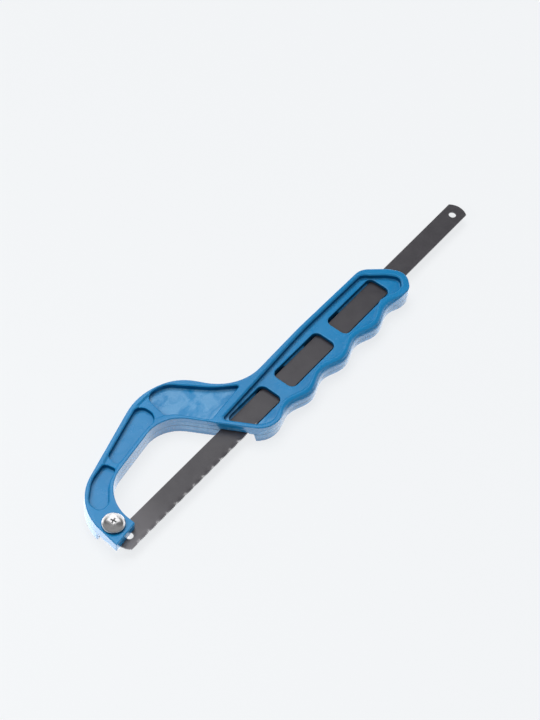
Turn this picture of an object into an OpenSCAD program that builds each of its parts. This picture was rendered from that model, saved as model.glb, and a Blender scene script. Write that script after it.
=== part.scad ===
// Mini hacksaw: a one-piece moulded frame with a bow and a finger-grooved handle,
// a standard hacksaw blade lying in a slot through the handle, and a small screw
// clamp under the nose that grips the front end of the blade.
//
// The saw is drawn from the centre of the blade's front hole: x runs along the blade
// to the rear, y towards the bow, z up, with the frame's lower face at z = 0.
// The origin is then moved to the middle of the foot of the whole saw's box.

/* [Blade] */
// Distance between the centres of the two blade holes
blade_pitch = 300; // [270:5:310]
// Width of the blade, from its back edge to the tips of its teeth
blade_w = 12.7; // [11.5:0.1:13]
// Thickness of the blade
blade_t = 0.65; // [0.5:0.05:0.8]
// Length of blade beyond the centre of each hole
blade_end = 8; // [6:0.5:9]
// Radius of the blade's round ends
blade_end_r = 9.5; // [7:0.5:14]
// Diameter of the blade holes
blade_hole_d = 4.4; // [3:0.1:5]
// Pitch of the teeth
tooth_pitch = 1.06; // [0.8:0.02:1.8]
// Depth of the gullets between the teeth
tooth_depth = 0.6; // [0.3:0.05:0.9]
// Plain length of tooth edge at the front end of the blade
tooth_plain = 7; // [5:0.5:12]
// Plain length of tooth edge at the rear end of the blade
tail_plain = 70; // [20:1:80]

/* [Frame] */
// Thickness of the frame over its rims
frame_t = 12.5; // [11:0.1:16]
// Length of the bow, from the front blade hole to the shoulder of the handle
bow_len = 100; // [85:1:120]
// Rise of the bow over the centre of the blade
bow_rise = 50; // [44:1:70]
// Depth of the pockets in the bow, from each face
pocket_depth = 3.4; // [2:0.1:4.5]
// Depth of the tops of the bow's ribs below the rim
rib_drop = 0.8; // [0.4:0.1:1.5]

/* [Handle] */
// Distance from the front blade hole to the rear end of the handle
handle_end = 238.6; // [225:0.2:250]
// Height of the handle's back over the centre of the blade
handle_back = 15.2; // [14:0.1:20]
// Depth of the finger crests under the centre of the blade
grip_low = 18.1; // [16.5:0.1:24]
// Rise of a finger groove from its crests
grip_wave = 3.9; // [2:0.1:4.2]
// Distance from one finger groove to the next
grip_pitch = 31.3; // [28:0.1:32]
// Distance from the front blade hole to the first whole finger crest
grip_first = 134.8; // [130:0.2:140]
// Width of the handle's rim
rim_w = 3; // [2:0.1:3.5]
// Width of the rim along the finger grooves
grip_rim = 4.8; // [3:0.1:5.2]
// Width of the rim at the last finger groove
last_rim = 6.2; // [4:0.1:6.4]
// Width of the rim round the handle's rear end
rear_rim = 4.8; // [3:0.1:5.4]
// Depth of the handle's recess, from each face
recess_depth = 3.3; // [2:0.1:4]
// Width of the band between the handle's recess and the bow's last pocket
band_w = 4.5; // [3.5:0.1:6]

/* [Windows and slot] */
// Width of the windows, across the blade
window_w = 15; // [14:0.1:15.4]
// Radius of the window corners
window_r = 3.8; // [2:0.1:5]
// Distance from the front blade hole to the front edge of the middle window
window_mid = 130.8; // [128:0.2:134]
// Length of the middle window
window_mid_len = 40.8; // [34:0.2:42]
// Length of the rear window
window_rear_len = 43.5; // [36:0.5:44]
// Width of the bridges between the windows
bridge_w = 9.2; // [7:0.1:12]
// Length of the lower bridges that carry the blade
carrier_len = 15; // [10:0.5:20]
// Height of the slot for the blade
slot_h = 1.4; // [1.2:0.1:2]
// Play of the blade in its slot, at each edge
slot_play = 0.4; // [0.2:0.05:0.5]

/* [Clamp] */
// Diameter of the clamp screw
screw_d = 4; // [3:0.5:5]
// Diameter of the screw head
head_d = 12.6; // [10:0.2:12.8]
// Height of the screw head
head_h = 3.7; // [2.8:0.1:5]
// Length of the screw under its head
screw_len = 11.9; // [11:0.1:12.2]
// Distance of the screw in front of the blade's front hole
screw_ahead = 3.2; // [2.6:0.1:4]
// Thickness of the clamp plate
plate_t = 1.5; // [1:0.1:1.8]
// Thickness of the clamp plate's side flanges
flange_t = 1.2; // [0.8:0.1:1.4]
// Thickness of the lock washer
washer_t = 0.6; // [0.4:0.1:0.8]
// Outer diameter of the lock washer
washer_od = 7; // [6.4:0.1:7.1]
// Width across the flats of the nut
nut_af = 7; // [6.6:0.1:7.2]
// Height of the nut
nut_h = 2.2; // [1.6:0.1:2.6]

/* [Hidden] */

// Overrun of every cut past the face that it opens
over = 1;
// Largest distance of a drawn arc from the true one
arc_tol = 0.03;
// Running clearance, on the radius, of a shank in a hole
run_gap = 0.08;
// Side clearance of a loose piece
loose_gap = 0.2;

mid_z = frame_t / 2;
blade_top = mid_z + blade_t / 2;
blade_low = mid_z - blade_t / 2;
slot_w = blade_w + 2 * slot_play;
slot_low = mid_z - slot_h / 2;

// Colours
blue = [0.16, 0.46, 0.70];
steel_dark = [0.30, 0.30, 0.32];
zinc = [0.80, 0.81, 0.82];
zinc_dull = [0.62, 0.63, 0.64];

// Radii of the handle's outline
back_r = 300;
front_heel_r = 14.5;
jaw_r = 0.6;
band_r = 4.5;

// Reach of the outline's roundings, as shares of the shorter edge beside each corner
rear_heel_round_share = 0.66;
rear_low_round_share = 0.54;
rear_mid_round_share = 0.35;
rear_top_round_share = 0.275;
nose_round_share = 0.594;
bow_top_round_share = 0.495;
shoulder_round_share = 0.433;
neck_round_share = 0.535;
inner_front_round_share = 0.806;
inner_rear_round_share = 0.245;

// The bow's own corners, as shares of its length and its rise
nose_low_share = [-0.119, -0.026];
nose_top_share = [-0.076, 0.638];
crown_front_share = [0.68, 1.061];
crown_rear_share = [0.92, 0.893];
neck_share = [1.091, 0.2745];
inner_top_share = [0.6685, 0.68];
inner_front_share = [0.062, 0.504];
jaw_tip_share = [0.052, 0.01];

function bow_point(share) = [share[0] * bow_len, share[1] * bow_rise];

nose_low = bow_point(nose_low_share);
nose_top = bow_point(nose_top_share);
crown_front = bow_point(crown_front_share);
crown_rear = bow_point(crown_rear_share);
neck = bow_point(neck_share);
inner_top = bow_point(inner_top_share);
inner_front = bow_point(inner_front_share);
jaw_tip = bow_point(jaw_tip_share);

// The handle's own corners
heel_front_drop = 16.1;
heel_front_share = 0.978;
heel_flat = 0.6;
heel_rear_drop = 16.2;
heel_front = [heel_front_share * bow_len, -heel_front_drop];
heel_reach = front_heel_r / tan(corner_angle(inner_top, heel_front, [handle_end, -heel_front_drop]) / 2);
crest_front = [heel_front[0] + heel_reach + heel_flat, -heel_front_drop];
heel_rear_inset = 7.1;
crest_rear_inset = 11.6;
rear_tip_over = 1.3;
rear_tip_drop = 7.8;
rear_mid_inset = 3.6;
rear_mid_rise = 2.2;
rear_top_inset = 15.2;
rear_top_low = 0.8;
back_inset = 73.6;
heel_rear = [handle_end - heel_rear_inset, -heel_rear_drop];
crest_rear = [handle_end - crest_rear_inset, -heel_rear_drop];
rear_tip = [handle_end + rear_tip_over, -rear_tip_drop];
rear_mid = [handle_end - rear_mid_inset, rear_mid_rise];
rear_top = [handle_end - rear_top_inset, handle_back - rear_top_low];
back_mid = [handle_end - back_inset, handle_back];

// Finger grooves: crests and hollows in turn, between the front and the rear crest
crests = 3;
front_hollow_share = 0.447;
rear_hollow_share = 0.471;
crest_xs = [for (i = [0:crests - 1]) grip_first + i * grip_pitch];
hollow_xs = concat(
    [crest_front[0] + front_hollow_share * (crest_xs[0] - crest_front[0])],
    [for (i = [1:crests - 1]) (crest_xs[i - 1] + crest_xs[i]) / 2],
    [crest_rear[0] - rear_hollow_share * (crest_rear[0] - crest_xs[crests - 1])]
);
hollow_y = grip_wave - grip_low;
grip_knots = concat(
    [crest_front],
    [for (i = [0:crests - 1]) each [[hollow_xs[i], hollow_y], [crest_xs[i], -grip_low]]],
    [[hollow_xs[crests], hollow_y], crest_rear]
);
wave_steps = 10;

// Vector helpers
function unit(v) = v / norm(v);
function turned(v) = [-v[1], v[0]];
function cross2(a, b) = a[0] * b[1] - a[1] * b[0];
function meet(p, q, r, s) = p + (q - p) * cross2(r - p, s - r) / cross2(q - p, s - r);
function corner_angle(p, q, n) = acos(unit(p - q) * unit(n - q));

// The radius that rounds corner q over this share of the shorter edge beside it
function round_r(p, q, n, share) = share * min(norm(p - q), norm(n - q)) * tan(corner_angle(p, q, n) / 2);

// The arc that rounds corner q, between its neighbours p and n, with radius r
function arc_steps(r, turn) = max(2, ceil(turn / (2 * acos(1 - arc_tol / max(r, 2 * arc_tol)))));
function corner_arc(p, q, n, r) =
    let (
        a = unit(p - q),
        b = unit(n - q),
        turn = 180 - corner_angle(p, q, n),
        c = q + unit(a + b) * r / cos(turn / 2),
        start = q + a * r * tan(turn / 2) - c,
        first = atan2(start[1], start[0]),
        way = sign(cross2(q - p, n - q)),
        steps = arc_steps(r, turn)
    )
    [for (k = [0:steps]) c + r * [cos(first + way * turn * k / steps), sin(first + way * turn * k / steps)]];

// A path through corners [point, radius]; its two end corners only aim it
function path(corners) = [
    for (i = [1:len(corners) - 2])
        each corner_arc(corners[i - 1][0], corners[i][0], corners[i + 1][0], corners[i][1])
];

// A closed outline through corners [point, radius]
function ring(corners) = path(concat([corners[len(corners) - 1]], corners, [corners[0]]));

// A closed outline through points, each rounded over its share of the shorter edge beside it
function share_ring(points, shares) =
    let (n = len(points))
    ring([
        for (k = [0:n - 1])
            [points[k], round_r(points[(k + n - 1) % n], points[k], points[(k + 1) % n], shares[k])]
    ]);

// A smooth wave from knot to knot
function wave(knots) = [
    for (i = [0:len(knots) - 2])
        for (k = [0:wave_steps - 1])
            let (s = k / wave_steps)
            [
                knots[i][0] + (knots[i + 1][0] - knots[i][0]) * s,
                knots[i][1] + (knots[i + 1][1] - knots[i][1]) * (1 - cos(180 * s)) / 2
            ]
];

// Points moved sideways off their own line, by a distance for each point
function normal_at(points, i) =
    unit(turned(points[min(i + 1, len(points) - 1)] - points[max(i - 1, 0)]));
function shifted(points, by) = [for (i = [0:len(points) - 1]) points[i] + by[i] * normal_at(points, i)];

// Radii of those roundings
rear_heel_r = round_r(crest_rear, heel_rear, rear_tip, rear_heel_round_share);
rear_low_r = round_r(heel_rear, rear_tip, rear_mid, rear_low_round_share);
rear_mid_r = round_r(rear_tip, rear_mid, rear_top, rear_mid_round_share);
rear_top_r = round_r(rear_mid, rear_top, back_mid, rear_top_round_share);
nose_r = round_r(nose_low, nose_top, crown_front, nose_round_share);
bow_top_r = round_r(nose_top, crown_front, crown_rear, bow_top_round_share);
shoulder_r = round_r(crown_front, crown_rear, neck, shoulder_round_share);
neck_r = round_r(crown_rear, neck, back_mid, neck_round_share);
inner_front_r = round_r(jaw_tip, inner_front, inner_top, inner_front_round_share);
inner_rear_r = round_r(inner_front, inner_top, heel_front, inner_rear_round_share);

// Outline of the frame, from the rear crest over the back and the bow to the front crest
grip_line = wave(grip_knots);
frame_outline = concat(
    path([
        [crest_rear, 0],
        [heel_rear, rear_heel_r],
        [rear_tip, rear_low_r],
        [rear_mid, rear_mid_r],
        [rear_top, rear_top_r],
        [back_mid, back_r],
        [neck, neck_r],
        [crown_rear, shoulder_r],
        [crown_front, bow_top_r],
        [nose_top, nose_r],
        [nose_low, jaw_r],
        [jaw_tip, jaw_r],
        [inner_front, inner_front_r],
        [inner_top, inner_rear_r],
        [heel_front, front_heel_r],
        [crest_front, 0]
    ]),
    grip_line
);

// Outline of the handle alone, whose top runs on to the front wall
band_front_share = 0.8;
band_top = [band_front_share * bow_len, handle_back - band_w];
handle_front = meet(heel_front, inner_top, band_top, back_mid);
handle_shell = path([
    [crest_rear, 0],
    [heel_rear, rear_heel_r],
    [rear_tip, rear_low_r],
    [rear_mid, rear_mid_r],
    [rear_top, rear_top_r],
    [back_mid, back_r],
    [handle_front, band_r],
    [heel_front, front_heel_r],
    [crest_front, 0]
]);

// The rim's width along the finger grooves, and round the rear end
function grip_rim_at(x) = lookup(x, [
    [crest_front[0], rim_w],
    [hollow_xs[0], grip_rim],
    [crest_xs[crests - 1], grip_rim],
    [hollow_xs[crests], last_rim],
    [crest_rear[0], rear_rim]
]);
rear_rim_inset = 20;
rear_rim_run = 8;
function shell_rim_at(x) = lookup(x, [
    [handle_end - rear_rim_inset, rim_w],
    [handle_end - rear_rim_inset + rear_rim_run, rear_rim]
]);
recess_outline = concat(
    shifted(handle_shell, [for (p = handle_shell) shell_rim_at(p[0])]),
    [for (p = grip_line) p + [0, grip_rim_at(p[0])]]
);

// Pockets of the bow, nose first, as shares of the bow's length and rise
pocket_shares = [
    [[-0.017, 0.374], [-0.02, 0.54], [0.105, 0.702], [0.231, 0.744], [0.244, 0.598], [0.152, 0.538], [0.053, 0.374]],
    [[0.276, 0.774], [0.65, 0.978], [0.656, 0.692], [0.53, 0.686], [0.266, 0.612]],
    [[0.708, 0.962], [0.828, 0.962], [1.0, 0.5], [1.114, 0.294], [0.823, 0.24], [0.722, 0.588], [0.683, 0.652]]
];
pocket_round_shares = [
    [0.468, 0.478, 0.26, 0.4, 0.211, 0.236, 0.175],
    [0.247, 0.438, 0.525, 0.183, 0.415],
    [0.36, 0.6, 0.256, 0.133, 0.083, 0.358, 0.296]
];

// Tops of the two ribs, between the pockets
rib_shares = [
    [[0.226, 0.74], [0.285, 0.778], [0.28, 0.624], [0.234, 0.6]],
    [[0.63, 0.958], [0.725, 0.962], [0.692, 0.652], [0.63, 0.7]]
];

// Clamp at the nose
shank_r = screw_d / 2;
screw_x = -screw_ahead;
shank_clear = 0.05;
screw_y = blade_w / 2 + shank_r + shank_clear;
jaw_back = 13.5;
plate_front = 0.6;
plate_len = jaw_back - loose_gap - plate_front;
plate_half = nut_af / 2 + loose_gap / 2 + flange_t;
plate_low = blade_low - plate_t;
washer_low = plate_low - washer_t;
nut_low = washer_low - nut_h;
flange_short = 0.55;
flange_low = nut_low + flange_short;
flange_back = plate_len - flange_short;
recess_arm = 2.6;
recess_wide = 1.1;
recess_deep = 2.2;

// Notch in the lower half of the handle's front, below the blade
notch_side = 9;
notch_flare = 1.5;
notch_inner = blade_w / 2;

// Middle of the whole saw's box: nose to rear end of blade, and finger crests to crown
frame_xs = [for (p = frame_outline) p[0]];
frame_ys = [for (p = frame_outline) p[1]];
saw_mid_x = (min(frame_xs) + blade_pitch + blade_end) / 2;
saw_mid_y = (min(frame_ys) + max(frame_ys)) / 2;

// Puts a piece drawn from the front blade hole into the saw's own frame
module place() {
    translate([-saw_mid_x, -saw_mid_y, 0])
        children();
}

// Frame

module frame() {
    color(blue)
        place()
            difference() {
                linear_extrude(frame_t)
                    polygon(frame_outline);
                bow_pockets();
                rib_tops();
                handle_recesses();
                upper_windows();
                lower_windows();
                blade_slot();
                nose_lap();
                screw_hole();
            }
}

module both_faces(depth) {
    translate([0, 0, frame_t - depth])
        linear_extrude(depth + over)
            children();
    translate([0, 0, -over])
        linear_extrude(depth + over)
            children();
}

module bow_pockets() {
    both_faces(pocket_depth)
        for (i = [0:len(pocket_shares) - 1])
            polygon(share_ring([for (share = pocket_shares[i]) bow_point(share)], pocket_round_shares[i]));
}

module rib_tops() {
    both_faces(rib_drop)
        for (rib = rib_shares)
            polygon([for (share = rib) bow_point(share)]);
}

module handle_recesses() {
    both_faces(recess_depth)
        polygon(recess_outline);
}

window_half = window_w / 2;
window_rear = window_mid + window_mid_len + bridge_w;
window_rear_end = window_rear + window_rear_len;
window_front_end = window_mid - bridge_w;

// Cuts along the blade start in the middle of the bow's opening
gap_mid = heel_front[0] / 2;

// The front window's slanted end stands a little inside the recess, along the front wall
ledge_w = 0.3;
wall_set = turned(unit(heel_front - inner_top)) * (rim_w + ledge_w);
function front_end_at(y) = meet(inner_top + wall_set, heel_front + wall_set, [0, y], [bow_len, y]);

// A window across the blade, from its two front corners to x = b
module window_2d(front_low, front_high, b) {
    polygon(ring([
        [front_low, window_r],
        [[b, -window_half], window_r],
        [[b, window_half], window_r],
        [front_high, window_r]
    ]));
}

module plain_window_2d(a, b) {
    window_2d([a, -window_half], [a, window_half], b);
}

module upper_windows() {
    translate([0, 0, mid_z])
        linear_extrude(mid_z + over) {
            window_2d(front_end_at(-window_half), front_end_at(window_half), window_front_end);
            plain_window_2d(window_mid, window_mid + window_mid_len);
            plain_window_2d(window_rear, window_rear_end);
        }
}

// Middle of each lower bridge, under the middle of the window above it
carriers = [
    window_front_end - carrier_len,
    window_mid + window_mid_len / 2,
    window_rear + window_rear_len / 2
];
carrier_half = carrier_len / 2;

module lower_windows() {
    translate([0, 0, -over])
        linear_extrude(mid_z + over) {
            plain_window_2d(carriers[0] + carrier_half, carriers[1] - carrier_half);
            plain_window_2d(carriers[1] + carrier_half, carriers[2] - carrier_half);
        }
    front_notch();
}

// The opening under the blade at the handle's front, with one flared side
module front_notch() {
    low_side = -notch_side - notch_flare;
    translate([gap_mid, 0, 0])
        rotate([90, 0, 90])
            linear_extrude(carriers[0] - carrier_half - gap_mid)
                polygon([
                    [low_side - notch_flare * over / mid_z, -over],
                    [notch_inner, -over],
                    [notch_inner, mid_z],
                    [-notch_side, mid_z]
                ]);
}

module blade_slot() {
    translate([gap_mid, -slot_w / 2, slot_low])
        cube([handle_end + rear_tip_over, slot_w, slot_h]);
}

// The lower half of the nose is left out, so that the clamp closes on the blade
module nose_lap() {
    translate([-gap_mid, -jaw_back, -over])
        cube([2 * gap_mid, 2 * jaw_back, blade_low + over]);
    translate([-gap_mid, -jaw_back, 0])
        cube([2 * gap_mid, jaw_back + blade_w / 2 + slot_play / 2, blade_top]);
}

module screw_hole() {
    translate([screw_x, screw_y, 0])
        cylinder(h = frame_t + over, r = shank_r + run_gap, $fn = 64);
}

// Blade

module blade() {
    color(steel_dark)
        place()
            translate([0, 0, blade_low])
                difference() {
                    linear_extrude(blade_t)
                        polygon(blade_outline);
                    for (x = [0, blade_pitch])
                        translate([x, 0, -over])
                            cylinder(h = blade_t + 2 * over, d = blade_hole_d, $fn = 64);
                }
}

blade_front = -blade_end;
blade_rear = blade_pitch + blade_end;
tooth_first = blade_front + tooth_plain;
teeth = floor((blade_rear - tail_plain - tooth_first) / tooth_pitch);
tooth_rake_share = 0.15;
tooth_rake = tooth_rake_share * tooth_pitch;
end_sweep = asin(blade_w / 2 / blade_end_r);
end_steps = arc_steps(blade_end_r, 2 * end_sweep);

// Round end of the blade, centred at x = c and facing the way of angle a
function blade_arc(c, a) = [
    for (k = [0:end_steps])
        let (b = a + end_sweep * (2 * k / end_steps - 1))
        [c + blade_end_r * cos(b), blade_end_r * sin(b)]
];

blade_outline = concat(
    blade_arc(blade_rear - blade_end_r, 0),
    blade_arc(blade_front + blade_end_r, 180),
    [
        for (i = [0:teeth - 1])
            let (x = tooth_first + i * tooth_pitch)
            each [
                [x, -blade_w / 2],
                [x + tooth_rake, tooth_depth - blade_w / 2]
            ]
    ],
    [[tooth_first + teeth * tooth_pitch, -blade_w / 2]]
);

// Clamp

module at_screw() {
    place()
        translate([screw_x, screw_y, 0])
            children();
}

module clamp_screw() {
    color(zinc)
        at_screw()
            difference() {
                union() {
                    translate([0, 0, frame_t])
                        rotate_extrude($fn = 96)
                            polygon(head_profile);
                    translate([0, 0, frame_t - screw_len])
                        rotate_extrude($fn = 64)
                            polygon(shank_profile);
                }
                cross_recess();
            }
}

// Half section of the pan head: a straight rim, then a flat arc to the crown
head_rim = 2.3;
head_arc_steps = 10;
head_rise = head_h - head_rim;
head_ball_r = (head_d * head_d / 4 + head_rise * head_rise) / (2 * head_rise);
head_sweep = asin(head_d / 2 / head_ball_r);
head_profile = concat(
    [[0, 0], [head_d / 2, 0]],
    [
        for (k = [0:head_arc_steps - 1])
            let (a = head_sweep * (1 - k / head_arc_steps))
            [head_ball_r * sin(a), head_h - head_ball_r * (1 - cos(a))]
    ],
    [[0, head_h]]
);

tip_chamfer = 0.5;
shank_top = screw_len + head_rim;
shank_profile = [
    [0, 0],
    [shank_r - tip_chamfer, 0],
    [shank_r, tip_chamfer],
    [shank_r, shank_top],
    [0, shank_top]
];

module cross_recess() {
    for (a = [0, 90])
        rotate(a)
            translate([0, 0, frame_t + head_h - recess_deep])
                translate([-recess_arm, -recess_wide / 2, 0])
                    cube([2 * recess_arm, recess_wide, recess_deep + over]);
}

module clamp_plate() {
    color(zinc_dull)
        at_screw()
            difference() {
                union() {
                    translate([-plate_half, plate_front - screw_y, plate_low])
                        cube([2 * plate_half, plate_len, plate_t]);
                    for (side = [0, 1])
                        mirror([side, 0, 0])
                            plate_flange();
                }
                translate([0, 0, plate_low - over])
                    cylinder(h = plate_t + 2 * over, r = shank_r + run_gap, $fn = 64);
            }
}

// A flange bent down at the side of the plate keeps the nut from turning
module plate_flange() {
    translate([plate_half - flange_t, plate_front - screw_y, flange_low])
        cube([flange_t, flange_back, plate_low - flange_low]);
}

module lock_washer() {
    color(zinc_dull)
        at_screw()
            translate([0, 0, washer_low])
                difference() {
                    cylinder(h = washer_t, d = washer_od, $fn = 64);
                    translate([0, 0, -over])
                        cylinder(h = washer_t + 2 * over, r = shank_r + run_gap, $fn = 64);
                }
}

module clamp_nut() {
    color(zinc)
        at_screw()
            translate([0, 0, nut_low])
                difference() {
                    rotate(30)
                        cylinder(h = nut_h, d = nut_af / cos(30), $fn = 6);
                    translate([0, 0, -over])
                        cylinder(h = nut_h + 2 * over, r = shank_r + run_gap, $fn = 64);
                }
}

frame();
blade();
clamp_screw();
clamp_plate();
lock_washer();
clamp_nut();
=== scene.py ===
"""Looks of the mini hacksaw: moulded blue frame, dark wavy-set blade, bright clamp screw.

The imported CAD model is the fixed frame. Lengths are in millimetres up to the last step of
each piece, and places come from the CAD nodes' own boxes and outlines. The node materials
work in metres: a noise's scale is per metre, a bump's distance is in metres.
"""

import math

import bmesh
import bpy
import numpy as np
from mathutils import Matrix, Vector


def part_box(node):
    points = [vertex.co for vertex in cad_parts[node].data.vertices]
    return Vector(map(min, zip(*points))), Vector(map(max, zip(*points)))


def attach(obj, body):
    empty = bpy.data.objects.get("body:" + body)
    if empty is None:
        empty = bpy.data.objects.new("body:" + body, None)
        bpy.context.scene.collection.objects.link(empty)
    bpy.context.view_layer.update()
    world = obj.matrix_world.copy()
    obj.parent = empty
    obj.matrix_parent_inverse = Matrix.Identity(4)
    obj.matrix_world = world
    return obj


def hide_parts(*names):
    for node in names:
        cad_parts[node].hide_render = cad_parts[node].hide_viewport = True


MM = 0.001
TINY = 1e-6

# Points of a CAD mesh that are this close together are one point
WELD = 0.002

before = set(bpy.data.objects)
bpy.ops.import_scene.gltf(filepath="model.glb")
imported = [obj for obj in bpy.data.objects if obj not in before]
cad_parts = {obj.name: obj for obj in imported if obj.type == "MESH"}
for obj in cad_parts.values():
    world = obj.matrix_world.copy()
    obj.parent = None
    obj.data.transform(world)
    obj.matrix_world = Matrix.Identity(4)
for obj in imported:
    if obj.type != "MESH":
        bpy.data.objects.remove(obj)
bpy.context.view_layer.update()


def span(node):
    """Lowest and highest corner of a CAD node, in millimetres."""
    low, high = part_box(node)
    return np.array(low) / MM, np.array(high) / MM


FRAME_LOW, FRAME_HIGH = span("frame")
BLADE_LOW, BLADE_HIGH = span("blade")
SCREW_LOW, SCREW_HIGH = span("clamp_screw")
MID_Z = (FRAME_LOW[2] + FRAME_HIGH[2]) / 2
HALF_H = (FRAME_HIGH[2] - FRAME_LOW[2]) / 2


# ---- Mesh helpers


def cad_copy(node):
    """A welded copy of a CAD node's mesh, in millimetres."""
    bm = bmesh.new()
    bm.from_mesh(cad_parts[node].data)
    bmesh.ops.scale(bm, vec=(1 / MM,) * 3, verts=bm.verts)
    bmesh.ops.remove_doubles(bm, verts=bm.verts, dist=WELD)
    return bm


def link(name, bm, smooth=True):
    """A new object from a mesh in millimetres."""
    mesh = bpy.data.meshes.new(name)
    bm.to_mesh(mesh)
    bm.free()
    mesh.polygons.foreach_set("use_smooth", [smooth] * len(mesh.polygons))
    obj = bpy.data.objects.new(name, mesh)
    bpy.context.scene.collection.objects.link(obj)
    return obj


def applied(obj):
    """The object's mesh with its modifiers applied, in a new object of the same name."""
    graph = bpy.context.evaluated_depsgraph_get()
    mesh = bpy.data.meshes.new_from_object(obj.evaluated_get(graph))
    old = obj.data
    obj.modifiers.clear()
    obj.data = mesh
    bpy.data.meshes.remove(old)
    return obj


def points_of(obj):
    points = np.empty(len(obj.data.vertices) * 3)
    obj.data.vertices.foreach_get("co", points)
    return points.reshape(-1, 3)


def set_points(obj, points):
    obj.data.vertices.foreach_set("co", points.reshape(-1))
    obj.data.update()


def to_metres(obj):
    set_points(obj, points_of(obj) * MM)
    return obj


def smooth_step(low, high, value):
    t = np.clip((value - low) / (high - low), 0, 1)
    return t * t * (3 - 2 * t)


# ---- Frame: the CAD solid, with its edges rounded as they are moulded

VOXEL = 0.3
SOFT_STEPS = 4
SOFT_FACTOR = 0.5
# An edge belongs to an outline where a flat face and a wall meet on it at the rim's height
RIM_SLACK = 0.01
FLAT_NORMAL_Z = 0.9
WALL_NORMAL_Z = 0.1
# A point nearer to an outline than this lies on it
ON_LINE = 0.05
EDGE_R = 0.45
# The edge that the fingers hold: its radius, where along x it fades in and out, and which
# way it faces
GRIP_R = 3.8
GRIP_START_X = (-41.0, -31.0)
GRIP_END_X = (66.0, 80.0)
GRIP_NORMAL_Y = (0.12, -0.4)
# Lean of the outer walls, and how deep in the solid it fades out
DRAFT = 0.03
DRAFT_REACH = (1.0, 3.0)
# Depth from the outer wall where the inner walls begin
INSIDE_FROM = (1.3, 1.8)
RECESS_EDGE_R = 1.2
POCKET_EDGE_R = 0.8


def outlines(bm, z):
    """The outlines at height z as rings of points, longest first.

    They are the outer one, the handle's recess and the bow's pockets.
    """
    after = {}
    for e in bm.edges:
        a, b = e.verts
        if max(abs(a.co.z - z), abs(b.co.z - z)) > RIM_SLACK or len(e.link_faces) != 2:
            continue
        flat = [f for f in e.link_faces if abs(f.normal.z) > FLAT_NORMAL_Z]
        wall = [f for f in e.link_faces if abs(f.normal.z) < WALL_NORMAL_Z]
        if len(flat) == 1 and len(wall) == 1:
            after.setdefault(a.index, []).append(b.index)
            after.setdefault(b.index, []).append(a.index)
    bm.verts.ensure_lookup_table()
    rings, seen = [], set()
    for start in after:
        if start in seen:
            continue
        ring, here, last = [start], start, None
        seen.add(start)
        while True:
            onward = [n for n in after[here] if n != last and n not in seen]
            if not onward:
                break
            last, here = here, onward[0]
            seen.add(here)
            ring.append(here)
        rings.append(np.array([bm.verts[i].co[:2] for i in ring]))
    return sorted(rings, key=lambda r: -np.ptp(r[:, 0]))


def to_outline(points, ring):
    """For each point: distance to the outline, nearest point on it and its outward normal."""
    area = np.sum(ring[:, 0] * np.roll(ring[:, 1], -1) - np.roll(ring[:, 0], -1) * ring[:, 1])
    if area < 0:
        ring = ring[::-1]
    start, end = ring, np.roll(ring, -1, axis=0)
    along = end - start
    length = np.linalg.norm(along, axis=1)
    outward = np.stack([along[:, 1], -along[:, 0]], 1) / length[:, None]
    best = np.full(len(points), np.inf)
    foot = np.zeros((len(points), 2))
    normal = np.zeros((len(points), 2))
    for i in range(len(ring)):
        t = np.clip(((points - start[i]) @ along[i]) / length[i] ** 2, 0, 1)
        near = start[i] + t[:, None] * along[i]
        d = np.linalg.norm(points - near, axis=1)
        closer = d < best
        best[closer], foot[closer], normal[closer] = d[closer], near[closer], outward[i]
    return best, foot, normal


def draw_in(qx, qy):
    """Factor that brings a point of a square corner into the quarter round.

    qx and qy are its distances from the round's centre.
    """
    return np.maximum(qx, qy) / np.maximum(np.hypot(qx, qy), TINY)


def round_outer_edges(obj, ring):
    """Rounds the frame's outer edges, most where a hand holds it, and drafts its side walls.

    The attribute "inside" is 0 on the outer walls and 1 further in, for the material.
    """
    p = points_of(obj)
    d, foot, normal = to_outline(p[:, :2], ring)
    drawn = DRAFT * np.abs(p[:, 2] - MID_Z) * (1 - smooth_step(*DRAFT_REACH, d))
    p[:, :2] -= drawn[:, None] * normal
    d = d + drawn
    held = smooth_step(*GRIP_START_X, foot[:, 0]) * (1 - smooth_step(*GRIP_END_X, foot[:, 0]))
    held *= smooth_step(*GRIP_NORMAL_Y, normal[:, 1])
    r = EDGE_R + (GRIP_R - EDGE_R) * held
    inward = p[:, :2] - foot
    size = np.linalg.norm(inward, axis=1)
    unit = inward / np.maximum(size, TINY)[:, None]
    inward = np.where(size[:, None] > ON_LINE, unit, -normal)
    h = HALF_H - np.abs(p[:, 2] - MID_Z)
    qx, qy = r - d, r - h
    corner = (qx > 0) & (qy > 0)
    shrink = draw_in(qx, qy)
    d_new = np.where(corner, r - qx * shrink, d)
    h_new = np.where(corner, r - qy * shrink, h)
    p[:, :2] += (d_new - d)[:, None] * inward
    p[:, 2] -= np.sign(p[:, 2] - MID_Z) * (h_new - h)
    set_points(obj, p)
    inside = obj.data.attributes.new("inside", "FLOAT", "POINT")
    inside.data.foreach_set("value", smooth_step(*INSIDE_FROM, d))


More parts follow.
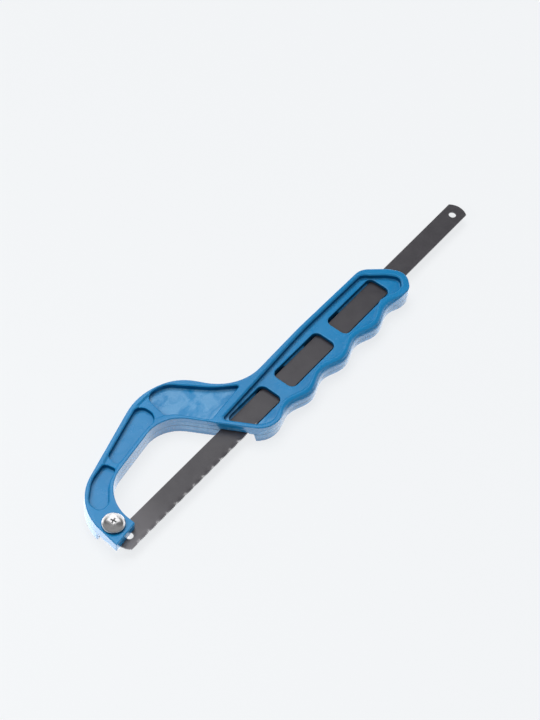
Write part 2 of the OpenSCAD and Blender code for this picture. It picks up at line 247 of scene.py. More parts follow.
def round_inner_edges(obj, ring, r):
    """Rounds the edge of a recess or pocket where its wall meets the rim."""
    p = points_of(obj)
    h = HALF_H - np.abs(p[:, 2] - MID_Z)
    low, high = ring.min(axis=0) - r, ring.max(axis=0) + r
    near = (h < r) & np.all((p[:, :2] > low) & (p[:, :2] < high), axis=1)
    chosen = np.flatnonzero(near)
    d, foot, _ = to_outline(p[chosen, :2], ring)
    qx, qy = r - d, r - h[chosen]
    corner = qx > 0
    chosen, d, foot, qx, qy = chosen[corner], d[corner], foot[corner], qx[corner], qy[corner]
    away = p[chosen, :2] - foot
    size = np.linalg.norm(away, axis=1)
    on_rim = size > ON_LINE
    shrink = draw_in(qx, qy)
    shift = (qx - qx * shrink)[:, None] * away / np.maximum(size, TINY)[:, None]
    p[chosen, :2] += np.where(on_rim[:, None], shift, 0)
    p[chosen, 2] -= np.sign(p[chosen, 2] - MID_Z) * (qy - qy * shrink)
    set_points(obj, p)


def make_frame():
    bm = cad_copy("frame")
    outer, recess, *pockets = outlines(bm, FRAME_HIGH[2])
    obj = link("frame_moulding", bm)
    voxels = obj.modifiers.new("voxels", "REMESH")
    voxels.mode = "VOXEL"
    voxels.voxel_size = VOXEL
    voxels.use_smooth_shade = True
    soften = obj.modifiers.new("soften", "SMOOTH")
    soften.factor = SOFT_FACTOR
    soften.iterations = SOFT_STEPS
    applied(obj)
    round_inner_edges(obj, recess, RECESS_EDGE_R)
    for pocket in pockets:
        round_inner_edges(obj, pocket, POCKET_EDGE_R)
    round_outer_edges(obj, outer)
    to_metres(obj)
    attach(obj, "frame")
    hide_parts("frame")
    return obj


# ---- Blade: the CAD plate, with a band of fine wavy-set teeth along its edge

TOOTH_PITCH = 1.06
TOOTH_DEPTH = 0.6
# Length without teeth at the front and at the rear end
TOOTH_PLAIN = 7.0
TAIL_PLAIN = 70.0
TOOTH_RAKE = 0.16
BAND_W = 2.8
BAND_ROWS = 7
# The set: length and height of a wave, where it fades in and out along the blade, and how
# quickly it fades across the band
WAVE_PITCH = 7.6
WAVE_DEPTH = 0.27
WAVE_FADE = 9.0
WAVE_END_X = (-52.0, -40.0)
WAVE_CURVE = 1.6
CUT_SLACK = 1e-4


def band_columns():
    """x and depth of each corner of the tooth line, from the first tooth to the last."""
    first = BLADE_LOW[0] + TOOTH_PLAIN
    count = math.floor((BLADE_HIGH[0] - TAIL_PLAIN - first) / TOOTH_PITCH)
    columns = []
    for i in range(count):
        x = first + i * TOOTH_PITCH
        columns += [(x, 0.0), (x + TOOTH_RAKE, TOOTH_DEPTH)]
    columns.append((first + count * TOOTH_PITCH, 0.0))
    return np.array(columns)


def make_blade():
    columns = band_columns()
    first, last = columns[0, 0], columns[-1, 0]
    top_y = BLADE_LOW[1] + BAND_W

    plate = cad_copy("blade")
    for place, normal in (
        ((first, 0, 0), (1, 0, 0)),
        ((last, 0, 0), (-1, 0, 0)),
        ((0, top_y, 0), (0, 1, 0)),
    ):
        everything = plate.verts[:] + plate.edges[:] + plate.faces[:]
        bmesh.ops.bisect_plane(plate, geom=everything, plane_co=place, plane_no=normal)

    def in_band(v):
        return (
            first - CUT_SLACK <= v.co.x <= last + CUT_SLACK and v.co.y <= top_y + CUT_SLACK
        )

    cut = [f for f in plate.faces if all(in_band(v) for v in f.verts)]
    bmesh.ops.delete(plate, geom=cut, context="FACES")

    wave = WAVE_DEPTH * np.sin(2 * np.pi * (columns[:, 0] - first) / WAVE_PITCH)
    wave *= smooth_step(0, WAVE_FADE, columns[:, 0] - first)
    wave *= 1 - smooth_step(*WAVE_END_X, columns[:, 0])
    rows = np.linspace(0, 1, BAND_ROWS)
    grid = []
    for level in (BLADE_LOW[2], BLADE_HIGH[2]):
        side = []
        for (x, depth), swing in zip(columns, wave):
            low = BLADE_LOW[1] + depth
            ys = low + (top_y - low) * rows
            zs = level + swing * (1 - rows) ** WAVE_CURVE
            side.append([plate.verts.new((x, y, z)) for y, z in zip(ys, zs)])
        grid.append(side)
    lower, upper = grid
    for i in range(len(columns) - 1):
        k = i + 1
        for j in range(BAND_ROWS - 1):
            plate.faces.new([lower[i][j], lower[i][j + 1], lower[k][j + 1], lower[k][j]])
            plate.faces.new([upper[i][j], upper[k][j], upper[k][j + 1], upper[i][j + 1]])
        plate.faces.new([lower[i][0], lower[k][0], upper[k][0], upper[i][0]])
    obj = link("blade_strip", plate, smooth=False)
    to_metres(obj)
    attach(obj, "blade")
    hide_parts("blade")
    return obj


# ---- Clamp screw: domed head with a tapered cross recess, shank with rings for its thread

HEAD_STEPS = 128
# The head's side is HEAD_RIM high. Its edge rounds off over HEAD_EDGE: down it and inward
HEAD_RIM = 2.3
HEAD_EDGE = (1.0, 1.5)
RIM_SOFT = 0.3
EDGE_STEPS = 9
CAP_STEPS = 16
HEAD_BEVEL = 0.12
HEAD_BEVEL_ANGLE = math.radians(35)
SHARP_ANGLE = math.radians(32)
# The recess: reach and half width of its arms, RECESS_OVER above the crown and at its foot
RECESS_OVER = 1.0
RECESS_ARM = (2.5, 0.9)
RECESS_HALF_W = (0.54, 0.22)
RECESS_TURN = math.radians(12)
RECESS_DEEP = 1.3
THREAD_PITCH = 0.7
THREAD_DEPTH = 0.3
# Each ring's crest begins and ends at these shares of the pitch
THREAD_CREST = (0.45, 0.6)
THREAD_RUNOUT = 0.4
PLAIN_SHANK = 1.2
SHANK_STEPS = 48
SHANK_TIP = 0.5
SHANK_R = 2.0
SHANK_INTO_HEAD = 0.1


def screw_axis():
    return (SCREW_LOW[:2] + SCREW_HIGH[:2]) / 2


def lathe(bm, profile, steps):
    """A solid of revolution about z from points (radius, height), its ends on the axis."""
    rings = []
    for radius, height in profile:
        if radius < TINY:
            rings.append([bm.verts.new((0, 0, height))])
            continue
        ring = []
        for k in range(steps):
            turn = 2 * math.pi * k / steps
            place = (radius * math.cos(turn), radius * math.sin(turn), height)
            ring.append(bm.verts.new(place))
        rings.append(ring)
    for low, high in zip(rings, rings[1:]):
        for k in range(steps):
            n = (k + 1) % steps
            if len(low) == 1:
                bm.faces.new([low[0], high[n], high[k]])
            elif len(high) == 1:
                bm.faces.new([low[k], low[n], high[0]])
            else:
                bm.faces.new([low[k], low[n], high[n], high[k]])


def head_profile(radius, seat, crown):
    """Half section of the pan head: straight rim, rounded edge, flat arc up to the crown."""
    rise = crown - seat - HEAD_RIM
    ball = (radius**2 + rise**2) / (2 * rise)

    def cap(r):
        return crown - ball + math.sqrt(ball**2 - r**2)

    start = np.array((radius, seat + HEAD_RIM - HEAD_EDGE[0]))
    corner = np.array((radius, seat + HEAD_RIM))
    end = np.array((radius - HEAD_EDGE[1], cap(radius - HEAD_EDGE[1])))
    points = [(0, seat), (radius - RIM_SOFT, seat), (radius, seat + RIM_SOFT)]
    for t in np.linspace(0, 1, EDGE_STEPS):
        points.append(tuple((1 - t) ** 2 * start + 2 * t * (1 - t) * corner + t * t * end))
    for r in np.linspace(end[0], 0, CAP_STEPS)[1:-1]:
        points.append((r, cap(r)))
    points.append((0, crown))
    return points


def recess_cutter(crown):
    """Two crossed bars that narrow towards their foot."""
    bm = bmesh.new()
    for turn in (RECESS_TURN, RECESS_TURN + math.pi / 2):
        along, across = (math.cos(turn), math.sin(turn)), (-math.sin(turn), math.cos(turn))
        corners = []
        levels = (crown + RECESS_OVER, crown - RECESS_DEEP)
        for level, arm, half in zip(levels, RECESS_ARM, RECESS_HALF_W):
            ring = []
            for sx, sy in ((-1, -1), (1, -1), (1, 1), (-1, 1)):
                x = sx * arm * along[0] + sy * half * across[0]
                y = sx * arm * along[1] + sy * half * across[1]
                ring.append(bm.verts.new((x, y, level)))
            corners.append(ring)
        top, foot = corners
        bm.faces.new(top)
        bm.faces.new(foot[::-1])
        for k in range(4):
            n = (k + 1) % 4
            bm.faces.new([foot[k], foot[n], top[n], top[k]])
    return bm


def make_screw():
    centre = screw_axis()
    seat = FRAME_HIGH[2]
    crown = SCREW_HIGH[2]
    radius = (SCREW_HIGH[0] - SCREW_LOW[0]) / 2
    bm = bmesh.new()
    lathe(bm, head_profile(radius, seat, crown), HEAD_STEPS)
    head = link("head_blank", bm)
    cutter = link("head_cutter", recess_cutter(crown), smooth=False)
    cut = head.modifiers.new("recess", "BOOLEAN")
    cut.operation = "DIFFERENCE"
    cut.object = cutter
    cut.solver = "EXACT"
    cut.use_self = True
    soft = head.modifiers.new("soft", "BEVEL")
    soft.width = HEAD_BEVEL
    soft.segments = 2
    soft.limit_method = "ANGLE"
    soft.angle_limit = HEAD_BEVEL_ANGLE
    applied(head)
    bpy.data.objects.remove(cutter)

    shank = bmesh.new()
    tip = SCREW_LOW[2]
    top = seat + SHANK_INTO_HEAD
    core = SHANK_R - THREAD_DEPTH
    profile = [(0, tip), (core - SHANK_TIP / 2, tip)]
    z = tip + SHANK_TIP
    while z + THREAD_PITCH < seat - PLAIN_SHANK:
        profile += [(core, z)] + [(SHANK_R, z + THREAD_PITCH * share) for share in THREAD_CREST]
        z += THREAD_PITCH
    profile += [(core, z), (SHANK_R, z + THREAD_RUNOUT), (SHANK_R, top), (0, top)]
    lathe(shank, profile, SHANK_STEPS)
    shank_obj = link("shank_blank", shank)

    joined = bmesh.new()
    joined.from_mesh(head.data)
    joined.from_mesh(shank_obj.data)
    bmesh.ops.translate(joined, vec=(centre[0], centre[1], 0), verts=joined.verts)
    for blank in (head, shank_obj):
        bpy.data.objects.remove(blank)
    obj = link("screw_domed", joined)
    obj.data.set_sharp_from_angle(angle=SHARP_ANGLE)
    to_metres(obj)
    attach(obj, "screw")
    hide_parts("clamp_screw")
    return obj


# ---- Materials


class Shader:
    """Short names for building a node material."""

    def __init__(self, name):
        self.material = bpy.data.materials.new(name)
        self.material.use_nodes = True
        self.tree = self.material.node_tree
        self.main = self.tree.nodes["Principled BSDF"]
        self.place = self.node("ShaderNodeTexCoord").outputs["Object"]

    def node(self, kind, **settings):
        n = self.tree.nodes.new(kind)
        for key, value in settings.items():
            setattr(n, key, value)
        return n

    def put(self, socket, value):
        if isinstance(value, bpy.types.NodeSocket):
            self.tree.links.new(value, socket)
        else:
            socket.default_value = value

    def math(self, operation, a, b=0.0, c=0.0):
        n = self.node("ShaderNodeMath", operation=operation)
        for socket, value in zip(n.inputs, (a, b, c)):
            self.put(socket, value)
        return n.outputs[0]

    def noise(self, scale, detail=3.0, rough=0.5, stretch=None, distort=0.0):
        place = self.place
        if stretch:
            m = self.node("ShaderNodeMapping")
            self.put(m.inputs["Vector"], place)
            self.put(m.inputs["Scale"], stretch)
            place = m.outputs[0]
        n = self.node("ShaderNodeTexNoise")
        self.put(n.inputs["Vector"], place)
        self.put(n.inputs["Scale"], scale)
        self.put(n.inputs["Detail"], detail)
        self.put(n.inputs["Roughness"], rough)
        self.put(n.inputs["Distortion"], distort)
        return n.outputs["Fac"]

    def ramp(self, value, low, high, to_low=0.0, to_high=1.0):
        n = self.node("ShaderNodeMapRange", interpolation_type="SMOOTHSTEP")
        for key, v in (
            ("Value", value),
            ("From Min", low),
            ("From Max", high),
            ("To Min", to_low),
            ("To Max", to_high),
        ):
            self.put(n.inputs[key], v)
        return n.outputs["Result"]

    def mix(self, factor, a, b):
        n = self.node("ShaderNodeMix", data_type="RGBA")
        self.put(n.inputs["Factor"], factor)
        self.put(n.inputs[6], a)
        self.put(n.inputs[7], b)
        return n.outputs[2]

    def split(self, vector):
        n = self.node("ShaderNodeSeparateXYZ")
        self.put(n.inputs[0], vector)
        return n.outputs

    def axes(self):
        return self.split(self.place)

    def upright(self):
        """1 where the surface faces straight up or down, 0 where it is a wall."""
        normal = self.node("ShaderNodeNewGeometry").outputs["Normal"]
        return self.math("ABSOLUTE", self.split(normal)[2])

    def bump(self, height, strength, distance, onto=None):
        n = self.node("ShaderNodeBump")
        self.put(n.inputs["Height"], height)
        self.put(n.inputs["Strength"], strength)
        self.put(n.inputs["Distance"], distance)
        if onto:
            self.put(n.inputs["Normal"], onto)
        return n.outputs[0]


def in_metres(lengths):
    return [length * MM for length in lengths]


# The values of a noise that count as its lowest and its highest
SPREAD = (0.3, 0.7)
WIDE_SPREAD = (0.25, 0.75)

PLASTIC_DEEP = (0.003, 0.195, 0.455, 1)
PLASTIC_FRESH = (0.005, 0.220, 0.500, 1)
PLASTIC_PALE = (0.16, 0.40, 0.66, 1)
# The deep blue of painted shade, for the inner walls and along the parting line
PAINTED_SHADE_BLUE = (0.001, 0.070, 0.175, 1)
PLASTIC_ROUGH = (0.23, 0.29)
# The floors of the bow's pockets are nearer to the middle plane than this, the rims further
POCKET_FLOOR_H = (2.9, 3.4)
REAR_POCKET_FROM_X = (-82.0, -74.0)
REAR_POCKET_TO_X = (-36.0, -44.0)
FLOW_SPREAD = (0.36, 0.62)
FLOW_EVERYWHERE = 0.08
FLOW_MORE_IN_REAR = 0.5
# How upright a wall's normal still is, and from where on it is a flat's
WALL_UPRIGHT = (0.25, 0.75)
# Share of painted shade on the inner walls
INNER_WALL_PAINTED_SHADE = 0.75
INNER_WALL_DULL = 0.8
# Half width of the parting line and of its groove, where they fade out
PARTING_H = (0.2, 0.42)
PARTING_STEP_H = (0.1, 0.3)
# Share of painted shade along the parting line
PARTING_PAINTED_SHADE = 0.7
PARTING_DULL = 0.4
SHEEN = 0.76
SHEEN_CHANGE_INSIDE = -0.2


def plastic_material():
    s = Shader("blue_moulded_plastic")
    x, _, z = s.axes()
    tone = s.noise(scale=38, detail=2)
    colour = s.mix(s.ramp(tone, *SPREAD), PLASTIC_DEEP, PLASTIC_FRESH)

    # Pale flow marks in the floors of the bow's pockets, strongest in the rear one
    off_middle = s.math("ABSOLUTE", s.math("SUBTRACT", z, float(MID_Z * MM)))
    in_pocket = s.ramp(off_middle, *in_metres(POCKET_FLOOR_H), 1, 0)
    ahead = s.ramp(x, *in_metres(REAR_POCKET_FROM_X))
    behind = s.ramp(x, *in_metres(REAR_POCKET_TO_X))
    rear_pocket = s.math("MULTIPLY", ahead, behind)
    flow = s.noise(scale=85, detail=5, rough=0.6, stretch=(1.0, 1.7, 1.0), distort=0.8)
    flow = s.ramp(flow, *FLOW_SPREAD)
    share = s.math("MULTIPLY_ADD", rear_pocket, FLOW_MORE_IN_REAR, FLOW_EVERYWHERE)
    amount = s.math("MULTIPLY", flow, share)
    colour = s.mix(s.math("MULTIPLY", amount, in_pocket), colour, PLASTIC_PALE)

    # The walls of the pockets, the recess and the windows get painted shade, a deeper blue, and
    # shine less
    inside = s.node("ShaderNodeAttribute", attribute_name="inside").outputs["Fac"]
    on_wall = s.ramp(s.upright(), *WALL_UPRIGHT, 1, 0)
    inner_wall = s.math("MULTIPLY", on_wall, inside)
    colour = s.mix(s.math("MULTIPLY", inner_wall, INNER_WALL_PAINTED_SHADE), colour, PAINTED_SHADE_BLUE)

    # A fine dark line of painted shade runs round the walls, half way up, along the parting line
    parting = s.math("MULTIPLY", s.ramp(off_middle, *in_metres(PARTING_H)), on_wall)
    parting = s.math("SUBTRACT", on_wall, parting)
    colour = s.mix(s.math("MULTIPLY", parting, PARTING_PAINTED_SHADE), colour, PAINTED_SHADE_BLUE)
    s.put(s.main.inputs["Base Color"], colour)

    sheen = s.math("MULTIPLY_ADD", inside, SHEEN_CHANGE_INSIDE, SHEEN)
    dull_inside = s.math("MULTIPLY", inner_wall, INNER_WALL_DULL)
    dull_parting = s.math("MULTIPLY", parting, PARTING_DULL)
    duller = s.math("MAXIMUM", dull_inside, dull_parting)
    sheen = s.math("MULTIPLY", sheen, s.math("SUBTRACT", 1.0, duller))
    s.put(s.main.inputs["Specular IOR Level"], sheen)
    haze = s.noise(scale=90, detail=4, rough=0.6)
    s.put(s.main.inputs["Roughness"], s.ramp(haze, *WIDE_SPREAD, *PLASTIC_ROUGH))

    # Fine grain, slow waves, the parting line's groove, and a rougher floor in the rear pocket
    grain = s.noise(scale=1500, detail=2)
    waves = s.noise(scale=60, detail=2)
    groove = s.ramp(off_middle, *in_metres(PARTING_STEP_H))
    rear_floor = s.math("MULTIPLY", rear_pocket, in_pocket)
    rough_floor = s.math("MULTIPLY", s.noise(scale=260, detail=4, rough=0.6), rear_floor)
    normal = s.bump(grain, strength=0.06, distance=0.0002)
    normal = s.bump(waves, strength=0.12, distance=0.001, onto=normal)
    normal = s.bump(groove, strength=0.5, distance=0.0001, onto=normal)
    normal = s.bump(rough_floor, strength=0.5, distance=0.0004, onto=normal)
    s.put(s.main.inputs["Normal"], normal)
    return s.material


BLADE_DARK = (0.046, 0.043, 0.050, 1)
BLADE_LIGHTER = (0.054, 0.051, 0.058, 1)
# A lighter grey painted towards the nose as sheen
BLADE_PAINTED_SHEEN = (0.165, 0.158, 0.170, 1)
BLADE_BARE_AND_GLINT = (0.62, 0.61, 0.62, 1)
BLADE_MOTTLE = (0.35, 0.7)
BLADE_ROUGH = (0.36, 0.42)
BLADE_SHEEN = 0.8
# Where the painted sheen fades along the blade, and its share at the nose
PAINTED_SHEEN_X = (-162.0, -112.0)
PAINTED_SHEEN_SHARE = 0.8
# Bare steel and painted glints: height above the teeth's tips, share at the tips, crests of the
# set, specks
WORN_H = (0.3, 2.0)
WORN_SHARE = 0.65
WORN_AND_GLINT_SWING = (0.3, 0.95)
WORN_SPECKS = (0.42, 0.62)
WORN_METALLIC = 0.5


def blade_material():
    s = Shader("dark_blade_steel")
    x, y, _ = s.axes()
    mottle = s.noise(scale=120, detail=4, rough=0.6)
    colour = s.mix(s.ramp(mottle, *BLADE_MOTTLE), BLADE_DARK, BLADE_LIGHTER)

    # Painted sheen: the blade is painted lighter towards the nose, where the lamps' reflection is
    # stronger
    nose_sheen = s.ramp(x, *in_metres(PAINTED_SHEEN_X), PAINTED_SHEEN_SHARE, 0)
    colour = s.mix(nose_sheen, colour, BLADE_PAINTED_SHEEN)

    # The set swings the teeth up and down along the edge; its high parts are rubbed bare steel,
    # partly real wear and partly painted glints where the crests catch the light
    from_teeth = s.math("SUBTRACT", y, float(BLADE_LOW[1] * MM))
    edge = s.ramp(from_teeth, *in_metres(WORN_H), WORN_SHARE, 0)
    from_first = s.math("SUBTRACT", x, float((BLADE_LOW[0] + TOOTH_PLAIN) * MM))
    turns = s.math("DIVIDE", from_first, WAVE_PITCH * MM)
    swing = s.math("SINE", s.math("MULTIPLY", turns, 2 * math.pi))
    high = s.ramp(swing, *WORN_AND_GLINT_SWING)
    specks = s.ramp(s.noise(scale=700, detail=3, rough=0.6), *WORN_SPECKS)
    used = s.ramp(x, *in_metres(WAVE_END_X), 1, 0)
    worn_and_glint = s.math("MULTIPLY", s.math("MULTIPLY", edge, specks), s.math("MULTIPLY", high, used))
    s.put(s.main.inputs["Base Color"], s.mix(worn_and_glint, colour, BLADE_BARE_AND_GLINT))
    s.put(s.main.inputs["Metallic"], s.math("MULTIPLY", worn_and_glint, WORN_METALLIC))
    s.put(s.main.inputs["Specular IOR Level"], BLADE_SHEEN)
    cloud = s.noise(scale=140, detail=4, rough=0.6)
    s.put(s.main.inputs["Roughness"], s.ramp(cloud, *SPREAD, *BLADE_ROUGH))

    # Rolling marks along the strip, and the paint's grit
    rolled = s.noise(scale=420, detail=3, rough=0.6, stretch=(1.0, 14.0, 1.0))
    grit = s.noise(scale=2200, detail=2)
    normal = s.bump(rolled, strength=0.03, distance=0.0002)
    normal = s.bump(grit, strength=0.05, distance=0.0001, onto=normal)
    s.put(s.main.inputs["Normal"], normal)
    return s.material


ZINC = (0.93, 0.93, 0.94, 1)
ZINC_TARNISH = (0.80, 0.80, 0.82, 1)
ZINC_ROUGH = (0.14, 0.24)
# Painted shade for the steep sides of the screw head
HEAD_SIDES_PAINTED_SHADE = (0.10, 0.12, 0.14, 1)
DULL_ZINC = (0.62, 0.62, 0.63, 1)
DULL_ZINC_TARNISH = (0.45, 0.45, 0.44, 1)
DULL_ZINC_ROUGH = (0.3, 0.45)
TARNISH_SPREAD = (0.4, 0.75)
SHADED_SIDES_UPRIGHT = (0.35, 0.8)
PART_BEVEL = 0.15


def metal_material(name, colour, tarnish, roughness, shaded_sides=None):
    """Plated metal with blotches and fine scratches, its steep sides darkened with painted shade
    when a colour is given for them.
    """
    s = Shader(name)
    blotch = s.noise(scale=500, detail=4, rough=0.6)
    finish = s.mix(s.ramp(blotch, *TARNISH_SPREAD), colour, tarnish)
    # Painted shade on the steep sides
    if shaded_sides:
        finish = s.mix(s.ramp(s.upright(), *SHADED_SIDES_UPRIGHT, 1, 0), finish, shaded_sides)
    s.put(s.main.inputs["Base Color"], finish)
    s.put(s.main.inputs["Metallic"], 1.0)
    scratches = s.noise(scale=900, detail=4, rough=0.7, stretch=(1.0, 6.0, 1.0))
    s.put(s.main.inputs["Roughness"], s.ramp(scratches, *SPREAD, *roughness))
    dents = s.noise(scale=700, detail=3, rough=0.6)
    s.put(s.main.inputs["Normal"], s.bump(dents, strength=0.12, distance=0.0002))
    return s.material


def coat(obj, material):
    """Gives a piece or a CAD node its finish."""
    obj.data.materials.clear()
    obj.data.materials.append(material)


# ---- Floor, light and camera

FLOOR_SIZE = 30000.0
FLOOR_ROUGH = 0.9
BACKGROUND = (0.896, 0.913, 0.930, 1)
SHADOW_SHARE = 0.14
# Under the handle the floor is painted near black as painted shadow and loses its glow, seen only
# through the windows
UNDER_HANDLE_X = (-48.0, 76.0)
UNDER_HANDLE_Y = (-24.0, -4.5)
UNDER_SOFT = 1.5
UNDER_HANDLE_PAINTED_SHADOW = (0.004, 0.010, 0.020, 1)
# The floor's brightness in reflections: along the saw, ahead of the nose, and where it ends
FLOOR_GLOSS = 1.5
FLOOR_GLOSS_NOSE = 3.2
FLOOR_NOSE_X = (-160.0, -148.0)
FLOOR_GLOSS_EDGE_X = (-208.0, -184.0)
FLOOR_GLOSS_EDGE_Y = (-78.0, -54.0)
# The sky: its light, and its brightness in reflections overhead, far low down, and near
SKY_LEVEL = 0.32
SKY_GLOSS = 0.10
HORIZON_GLOSS = 0.95
HORIZON_HEIGHT = (0.5, 0.62)
NEAR_GLOSS = 0.26
FAR_SIDE = (0.1, 0.45)
# Angles in degrees
KEY = {"azimuth": 62, "elevation": 68, "angle": 40, "strength": 2.0}
NOSE_LAMP_PLACE = (-380.0, 160.0, 360.0)
NOSE_LAMP_SIZE = 200.0
NOSE_LAMP_POWER = 0.45
SOFTBOX_FROM = (-70.0, 0.0, 12.0)
SOFTBOX_DISTANCE = 480.0
SOFTBOX_SIZE = (320.0, 350.0)
SOFTBOX_SHIFT = (-70.0, 36.0)
SOFTBOX_POWER = 0.36

# The photo's camera: angles in degrees, focal length and image height in pixels
LENS_PIXELS = 1922.64
IMAGE_H = 720
SENSOR_H = 36.0
CLIP_END = 100.0
VIEW_ELEVATION = 52.246
VIEW_AZIMUTH = 59.067
VIEW_ROLL = 8.50
VIEW_DISTANCE = 1076.477
VIEW_TARGET = (-8.294, -1.547, 6.25)


def make_floor():
    """A pale floor: flat in the picture but for a faint shadow, bright in the reflections."""
    s = Shader("pale_floor")
    s.put(s.main.inputs["Roughness"], FLOOR_ROUGH)
    s.put(s.main.inputs["Specular IOR Level"], 0.0)
    path = s.node("ShaderNodeLightPath")
    glow = s.node("ShaderNodeEmission")
    s.put(glow.inputs["Color"], BACKGROUND)
    x, y, _ = s.axes()
    painted_shadow_under = 1.0
    for place, (low, high) in ((x, UNDER_HANDLE_X), (y, UNDER_HANDLE_Y)):
        after = s.ramp(place, (low - UNDER_SOFT) * MM, low * MM)
        before = s.ramp(place, high * MM, (high + UNDER_SOFT) * MM, 1, 0)
        painted_shadow_under = s.math("MULTIPLY", s.math("MULTIPLY", after, before), painted_shadow_under)
    # Painted shadow: the floor's colour under the handle is near black
    s.put(s.main.inputs["Base Color"], s.mix(painted_shadow_under, BACKGROUND, UNDER_HANDLE_PAINTED_SHADOW))
    flat = s.node("ShaderNodeMixShader")
    seen = s.math("MULTIPLY", path.outputs["Is Camera Ray"], 1 - SHADOW_SHARE)
    s.put(flat.inputs[0], s.math("MULTIPLY", seen, s.math("SUBTRACT", 1.0, painted_shadow_under)))
    s.tree.links.new(s.main.outputs[0], flat.inputs[1])
    s.tree.links.new(glow.outputs[0], flat.inputs[2])
    shine = s.node("ShaderNodeEmission")
    s.put(shine.inputs["Color"], BACKGROUND)
    bright = s.ramp(x, *in_metres(FLOOR_NOSE_X), FLOOR_GLOSS_NOSE, FLOOR_GLOSS)
    for place, end in ((x, FLOOR_GLOSS_EDGE_X), (y, FLOOR_GLOSS_EDGE_Y)):
        bright = s.math("MULTIPLY", bright, s.ramp(place, *in_metres(end)))
    bright = s.math("MULTIPLY", bright, s.math("SUBTRACT", 1.0, painted_shadow_under))
    s.put(shine.inputs["Strength"], s.math("MULTIPLY", path.outputs["Is Glossy Ray"], bright))
    both = s.node("ShaderNodeAddShader")
    s.tree.links.new(flat.outputs[0], both.inputs[0])
    s.tree.links.new(shine.outputs[0], both.inputs[1])
    # From below the floor is clear, so that it doesn't hide the saw's underside
    from_below = s.node("ShaderNodeMixShader")
    s.put(from_below.inputs[0], s.node("ShaderNodeNewGeometry").outputs["Backfacing"])
    s.tree.links.new(both.outputs[0], from_below.inputs[1])
    s.tree.links.new(s.node("ShaderNodeBsdfTransparent").outputs[0], from_below.inputs[2])
    s.tree.links.new(from_below.outputs[0], s.tree.nodes["Material Output"].inputs["Surface"])
    bm = bmesh.new()
    half = FLOOR_SIZE / 2
    corners = ((-half, -half, 0), (half, -half, 0), (half, half, 0), (-half, half, 0))
    bm.faces.new([bm.verts.new(corner) for corner in corners])
    floor = to_metres(link("floor", bm, smooth=False))
    coat(floor, s.material)


def make_world():
    """An even sky for the shading, a dim one in reflections, and the plain backdrop in view."""
    world = bpy.data.worlds.new("studio")
    bpy.context.scene.world = world
    world.use_nodes = True
    tree = world.node_tree
    sky = tree.nodes["Background"]
    sky.inputs["Color"].default_value = (1, 1, 1, 1)
    plain = tree.nodes.new("ShaderNodeBackground")
    plain.inputs["Color"].default_value = BACKGROUND
    path = tree.nodes.new("ShaderNodeLightPath")
    direction = tree.nodes.new("ShaderNodeTexCoord").outputs["Generated"]
    axes = tree.nodes.new("ShaderNodeSeparateXYZ")
    tree.links.new(direction, axes.inputs[0])

    def ramp(value, low, high, low_value, high_value):
        step = tree.nodes.new("ShaderNodeMapRange")
        step.interpolation_type = "SMOOTHSTEP"
        tree.links.new(value, step.inputs["Value"])
        step.inputs["From Min"].default_value = low
        step.inputs["From Max"].default_value = high
        step.inputs["To Min"].default_value = low_value
        step.inputs["To Max"].default_value = high_value
        return step.outputs["Result"]

    # The room's far side is bright low down, and its near side, where the photo was taken
    # from, is grey
    ahead, _ = camera_axes()
    flat_ahead = Vector((ahead.x, ahead.y, 0)).normalized()
    beyond = tree.nodes.new("ShaderNodeVectorMath")
    beyond.operation = "DOT_PRODUCT"
    tree.links.new(direction, beyond.inputs[0])
    beyond.inputs[1].default_value = flat_ahead
    gloss = tree.nodes.new("ShaderNodeMix")
    tree.links.new(ramp(beyond.outputs["Value"], *FAR_SIDE, 0.0, 1.0), gloss.inputs["Factor"])
    gloss.inputs["A"].default_value = NEAR_GLOSS
    far = ramp(axes.outputs["Z"], *HORIZON_HEIGHT, HORIZON_GLOSS, SKY_GLOSS)
    tree.links.new(far, gloss.inputs["B"])
    level = tree.nodes.new("ShaderNodeMix")
    tree.links.new(path.outputs["Is Glossy Ray"], level.inputs["Factor"])
    level.inputs["A"].default_value = SKY_LEVEL
    tree.links.new(gloss.outputs["Result"], level.inputs["B"])
    tree.links.new(level.outputs["Result"], sky.inputs["Strength"])
    either = tree.nodes.new("ShaderNodeMixShader")
    tree.links.new(path.outputs["Is Camera Ray"], either.inputs[0])
    tree.links.new(sky.outputs[0], either.inputs[1])
    tree.links.new(plain.outputs[0], either.inputs[2])
    tree.links.new(either.outputs[0], tree.nodes["World Output"].inputs[0])


def make_sun(name, azimuth, elevation, angle, strength):
    """A distant lamp, seen from the object in the direction azimuth (0 is +X) and elevation."""
    data = bpy.data.lights.new(name, "SUN")
    data.energy = strength
    data.angle = math.radians(angle)
    lamp = bpy.data.objects.new(name, data)
    a, e = math.radians(azimuth), math.radians(elevation)
    toward = Vector((math.cos(a) * math.cos(e), math.sin(a) * math.cos(e), math.sin(e)))
    lamp.rotation_euler = toward.to_track_quat("Z", "Y").to_euler()
    lamp.visible_glossy = False
    bpy.context.scene.collection.objects.link(lamp)


def make_nose_lamp():
    """A round panel beyond the nose, which lights the nose more than the rear."""
    data = bpy.data.lights.new("nose_lamp", "AREA")
    data.shape = "DISK"
    data.size = NOSE_LAMP_SIZE * MM
    data.energy = NOSE_LAMP_POWER
    lamp = bpy.data.objects.new("nose_lamp", data)
    place = Vector(NOSE_LAMP_PLACE)
    aim = Vector((SCREW_LOW[0], SCREW_LOW[1], 0))
    lamp.location = place * MM
    lamp.rotation_euler = (place - aim).to_track_quat("Z", "Y").to_euler()
    lamp.visible_glossy = False
    lamp.visible_camera = False
    bpy.context.scene.collection.objects.link(lamp)


def camera_axes():
    """Directions straight ahead and to the right of the photo's camera, before its roll."""
    a, e = math.radians(VIEW_AZIMUTH), math.radians(VIEW_ELEVATION)
    ahead = Vector((math.sin(a) * math.cos(e), math.cos(a) * math.cos(e), -math.sin(e)))
    right = Vector((math.cos(a), -math.sin(a), 0))
    return ahead, right


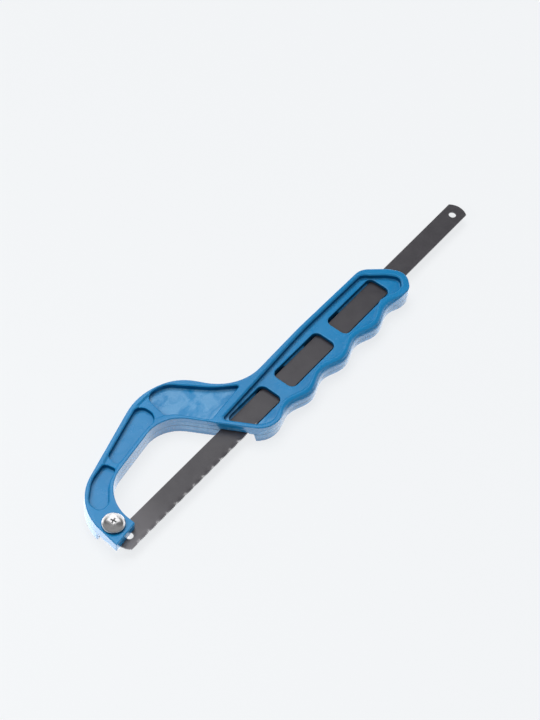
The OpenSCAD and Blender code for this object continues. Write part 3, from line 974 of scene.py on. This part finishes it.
def make_softbox():
    """A panel that shows only in reflections.

    It stands where the flat tops at the nose mirror it towards the photo's viewpoint.
    """
    ahead, _ = camera_axes()
    start = Vector(SOFTBOX_FROM)
    eye = Vector(VIEW_TARGET) - ahead * VIEW_DISTANCE
    ray = (start - eye).normalized()
    ray.z = -ray.z
    side = Vector((1, 0, 0)) - ray * ray.x
    side.normalize()
    up = ray.cross(side)
    centre = start + ray * SOFTBOX_DISTANCE + side * SOFTBOX_SHIFT[0] + up * SOFTBOX_SHIFT[1]
    data = bpy.data.lights.new("softbox", "AREA")
    data.shape = "RECTANGLE"
    data.size, data.size_y = (length * MM for length in SOFTBOX_SIZE)
    data.energy = SOFTBOX_POWER
    lamp = bpy.data.objects.new("softbox", data)
    lamp.matrix_world = Matrix(
        (
            (side.x, up.x, ray.x, centre.x * MM),
            (side.y, up.y, ray.y, centre.y * MM),
            (side.z, up.z, ray.z, centre.z * MM),
            (0, 0, 0, 1),
        )
    )
    lamp.visible_diffuse = False
    lamp.visible_camera = False
    bpy.context.scene.collection.objects.link(lamp)


def make_camera():
    roll = math.radians(VIEW_ROLL)
    ahead, right = camera_axes()
    up = right.cross(ahead)
    x_axis = right * math.cos(roll) + up * math.sin(roll)
    y_axis = -right * math.sin(roll) + up * math.cos(roll)
    # The fit counts pixels from their middles, hence half a pixel's shift of the view
    half_pixel = 0.5 * VIEW_DISTANCE / LENS_PIXELS
    target = Vector(VIEW_TARGET) + half_pixel * (y_axis - x_axis)
    place = (target - ahead * VIEW_DISTANCE) * MM
    data = bpy.data.cameras.new("camera")
    data.sensor_fit = "VERTICAL"
    data.sensor_height = SENSOR_H
    data.lens = LENS_PIXELS / IMAGE_H * data.sensor_height
    data.clip_end = CLIP_END
    camera = bpy.data.objects.new("camera", data)
    camera.matrix_world = Matrix(
        (
            (x_axis.x, y_axis.x, -ahead.x, place.x),
            (x_axis.y, y_axis.y, -ahead.y, place.y),
            (x_axis.z, y_axis.z, -ahead.z, place.z),
            (0, 0, 0, 1),
        )
    )
    bpy.context.scene.collection.objects.link(camera)
    bpy.context.scene.camera = camera


make_camera()
make_floor()
make_world()
make_sun("key", **KEY)
make_nose_lamp()
make_softbox()
bpy.context.scene.view_settings.view_transform = "Standard"

coat(make_frame(), plastic_material())
coat(make_blade(), blade_material())
bright = metal_material("bright_zinc_plate", ZINC, ZINC_TARNISH, ZINC_ROUGH)
# The head's steep sides are darkened with painted shade
head_zinc_and_shade = metal_material("bright_screw_head", ZINC, ZINC_TARNISH, ZINC_ROUGH, HEAD_SIDES_PAINTED_SHADE)
dull = metal_material("dull_zinc_plate", DULL_ZINC, DULL_ZINC_TARNISH, DULL_ZINC_ROUGH)
coat(make_screw(), head_zinc_and_shade)
for node, finish in (("clamp_plate", dull), ("lock_washer", dull), ("clamp_nut", bright)):
    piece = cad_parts[node]
    coat(piece, finish)
    soft = piece.modifiers.new("soft", "BEVEL")
    soft.width = PART_BEVEL * MM
    soft.segments = 2
    soft.limit_method = "ANGLE"
